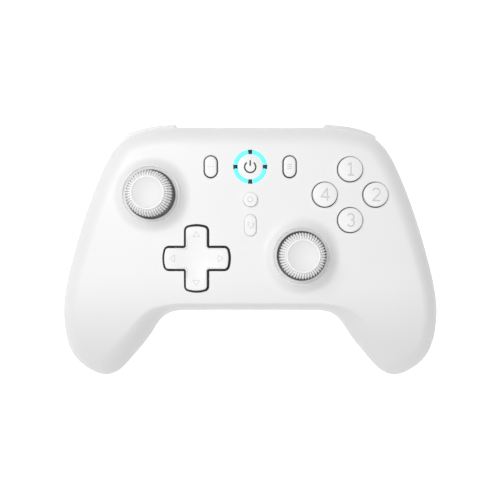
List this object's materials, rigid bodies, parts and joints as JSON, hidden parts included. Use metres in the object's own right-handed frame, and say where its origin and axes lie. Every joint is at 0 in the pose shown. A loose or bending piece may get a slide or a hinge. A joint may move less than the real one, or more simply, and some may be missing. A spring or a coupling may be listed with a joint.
{
  "type": "game controller",
  "caption": "Two-handed gamepad with tilting thumb sticks, rocking cross pad, face buttons, lit home button, bumpers, pull triggers and rumble weights.",
  "frame": {"origin": "on the flat rest face of the battery housing, in the middle of the body's width", "axes": "+X to the player's right, +Y towards the triggers, +Z out of the face"},
  "size_m": [0.1548, 0.1064, 0.0584],
  "materials": {
    "shell_white": "fine satin texture",
    "button_white": "smooth satin",
    "cap_rubber": "soft matte rubber",
    "ring_pale": "smooth low-friction ring",
    "frame_dark": "black moulding",
    "light_cyan": "frosted light guide",
    "board_green": "solder mask",
    "chip_dark": "moulded chip",
    "membrane_grey": "silicone",
    "cell_foil": "laminate foil",
    "lead_black": "insulation",
    "steel": "plain steel",
    "mechanism_black": "moulded mechanism"
  },
  "bodies": {
    "body": {"front_cover": "shell_white", "back_cover": "shell_white", "mid_frame": "frame_dark", "main_board": "board_green", "board_parts": "chip_dark", "usb_port": "steel", "battery_pack": "cell_foil", "battery_lead": "lead_black", "face_membrane": "membrane_grey", "pad_membrane": "membrane_grey", "centre_membrane": "membrane_grey", "home_ring_base": "frame_dark", "home_light_ring": "light_cyan", "pad_post": "frame_dark", "case_screws": "steel", "board_screws": "steel", "left_stick_ring": "ring_pale", "left_stick_module": "mechanism_black", "left_shoulder_switch": "frame_dark", "left_trigger_pin": "steel", "left_trigger_spring": "steel", "left_motor": "steel", "right_stick_ring": "ring_pale", "right_stick_module": "mechanism_black", "right_shoulder_switch": "frame_dark", "right_trigger_pin": "steel", "right_trigger_spring": "steel", "right_motor": "steel", "shoulder_boards": "board_green", "trigger_sensors": "board_green"},
    "left_gimbal": {"left_stick_gimbal": "mechanism_black"},
    "left_core": {"left_stick_core": "mechanism_black"},
    "left_stick": {"left_stick_shaft": "mechanism_black", "left_stick_cap": "cap_rubber"},
    "right_gimbal": {"right_stick_gimbal": "mechanism_black"},
    "right_core": {"right_stick_core": "mechanism_black"},
    "right_stick": {"right_stick_shaft": "mechanism_black", "right_stick_cap": "cap_rubber"},
    "pad_ball": {"pad_ball": "steel"},
    "pad": {"pad_cross": "button_white"},
    "button_north": {"button_north": "button_white"},
    "button_south": {"button_south": "button_white"},
    "button_east": {"button_east": "button_white"},
    "button_west": {"button_west": "button_white"},
    "home_button": {"home_button": "button_white"},
    "select_button": {"select_button": "button_white"},
    "start_button": {"start_button": "button_white"},
    "capture_button": {"capture_button": "button_white"},
    "mode_button": {"mode_button": "button_white"},
    "left_bumper": {"left_bumper": "button_white"},
    "left_trigger": {"left_trigger": "button_white", "left_trigger_magnet": "steel"},
    "left_spinner": {"left_motor_shaft": "steel", "left_motor_weight": "steel"},
    "right_bumper": {"right_bumper": "button_white"},
    "right_trigger": {"right_trigger": "button_white", "right_trigger_magnet": "steel"},
    "right_spinner": {"right_motor_shaft": "steel", "right_motor_weight": "steel"}
  },
  "joints": [
    {"name": "left_stick_tilt_x", "type": "hinge", "parent": "body", "child": "left_gimbal", "pos_m": [-0.0385, 0.0215, 0.036], "axis": [1, 0, 0], "range_deg": [-13, 13], "stiffness_Nm_per_rad": 0.03},
    {"name": "left_stick_tilt_y", "type": "hinge", "parent": "left_gimbal", "child": "left_core", "pos_m": [-0.0385, 0.0215, 0.036], "axis": [0, 1, 0], "range_deg": [-13, 13], "stiffness_Nm_per_rad": 0.03},
    {"name": "left_stick_press", "type": "slide", "parent": "left_core", "child": "left_stick", "axis": [0, 0, -1], "range_m": [0, 0.0006], "stiffness_N_per_m": 800, "springref_m": -0.0008},
    {"name": "right_stick_tilt_x", "type": "hinge", "parent": "body", "child": "right_gimbal", "pos_m": [0.0199, -0.00225, 0.036], "axis": [1, 0, 0], "range_deg": [-13, 13], "stiffness_Nm_per_rad": 0.03},
    {"name": "right_stick_tilt_y", "type": "hinge", "parent": "right_gimbal", "child": "right_core", "pos_m": [0.0199, -0.00225, 0.036], "axis": [0, 1, 0], "range_deg": [-13, 13], "stiffness_Nm_per_rad": 0.03},
    {"name": "right_stick_press", "type": "slide", "parent": "right_core", "child": "right_stick", "axis": [0, 0, -1], "range_m": [0, 0.0006], "stiffness_N_per_m": 800, "springref_m": -0.0008},
    {"name": "pad_tilt_x", "type": "hinge", "parent": "body", "child": "pad_ball", "pos_m": [-0.02096, -0.0033, 0.0434], "axis": [1, 0, 0], "range_deg": [-3.5, 3.5], "stiffness_Nm_per_rad": 0.06},
    {"name": "pad_tilt_y", "type": "hinge", "parent": "pad_ball", "child": "pad", "pos_m": [-0.02096, -0.0033, 0.0434], "axis": [0, 1, 0], "range_deg": [-3.5, 3.5], "stiffness_Nm_per_rad": 0.06, "deforming": ["pad_membrane"]},
    {"name": "button_north_press", "type": "slide", "parent": "body", "child": "button_north", "axis": [0, 0, -1], "range_m": [0, 0.0012], "stiffness_N_per_m": 250, "springref_m": -0.001, "deforming": ["face_membrane"]},
    {"name": "button_south_press", "type": "slide", "parent": "body", "child": "button_south", "axis": [0, 0, -1], "range_m": [0, 0.0012], "stiffness_N_per_m": 250, "springref_m": -0.001},
    {"name": "button_east_press", "type": "slide", "parent": "body", "child": "button_east", "axis": [0, 0, -1], "range_m": [0, 0.0012], "stiffness_N_per_m": 250, "springref_m": -0.001},
    {"name": "button_west_press", "type": "slide", "parent": "body", "child": "button_west", "axis": [0, 0, -1], "range_m": [0, 0.0012], "stiffness_N_per_m": 250, "springref_m": -0.001},
    {"name": "home_button_press", "type": "slide", "parent": "body", "child": "home_button", "axis": [0, 0, -1], "range_m": [0, 0.0006], "stiffness_N_per_m": 250, "springref_m": -0.001},
    {"name": "select_button_press", "type": "slide", "parent": "body", "child": "select_button", "axis": [0, 0, -1], "range_m": [0, 0.0008], "stiffness_N_per_m": 250, "springref_m": -0.001},
    {"name": "start_button_press", "type": "slide", "parent": "body", "child": "start_button", "axis": [0, 0, -1], "range_m": [0, 0.0008], "stiffness_N_per_m": 250, "springref_m": -0.001},
    {"name": "capture_button_press", "type": "slide", "parent": "body", "child": "capture_button", "axis": [0, 0, -1], "range_m": [0, 0.0008], "stiffness_N_per_m": 250, "springref_m": -0.001},
    {"name": "mode_button_press", "type": "slide", "parent": "body", "child": "mode_button", "axis": [0, 0, -1], "range_m": [0, 0.0008], "stiffness_N_per_m": 250, "springref_m": -0.001, "deforming": ["centre_membrane"]},
    {"name": "left_bumper_press", "type": "hinge", "parent": "body", "child": "left_bumper", "pos_m": [-0.0335, 0.043, 0.028], "axis": [0, 0, 1], "range_deg": [0, 2.4], "stiffness_Nm_per_rad": 0.06, "springref_deg": -6.88},
    {"name": "left_trigger_pull", "type": "hinge", "parent": "body", "child": "left_trigger", "pos_m": [-0.0395, 0.038, 0.0182], "axis": [1, 0, 0], "range_deg": [-16, 0], "stiffness_Nm_per_rad": 0.03, "springref_deg": 20.05, "deforming": ["left_trigger_spring"]},
    {"name": "left_motor_spin", "type": "hinge", "parent": "body", "child": "left_spinner", "pos_m": [-0.057, -0.02, 0.017], "axis": [0, 1, 0], "continuous": true},
    {"name": "right_bumper_press", "type": "hinge", "parent": "body", "child": "right_bumper", "pos_m": [0.0335, 0.043, 0.028], "axis": [0, 0, 1], "range_deg": [-2.4, 0], "stiffness_Nm_per_rad": 0.06, "springref_deg": 6.88},
    {"name": "right_trigger_pull", "type": "hinge", "parent": "body", "child": "right_trigger", "pos_m": [0.0395, 0.038, 0.0182], "axis": [1, 0, 0], "range_deg": [-16, 0], "stiffness_Nm_per_rad": 0.03, "springref_deg": 20.05, "deforming": ["right_trigger_spring"]},
    {"name": "right_motor_spin", "type": "hinge", "parent": "body", "child": "right_spinner", "pos_m": [0.057, -0.02, 0.017], "axis": [0, 1, 0], "continuous": true}
  ]
}
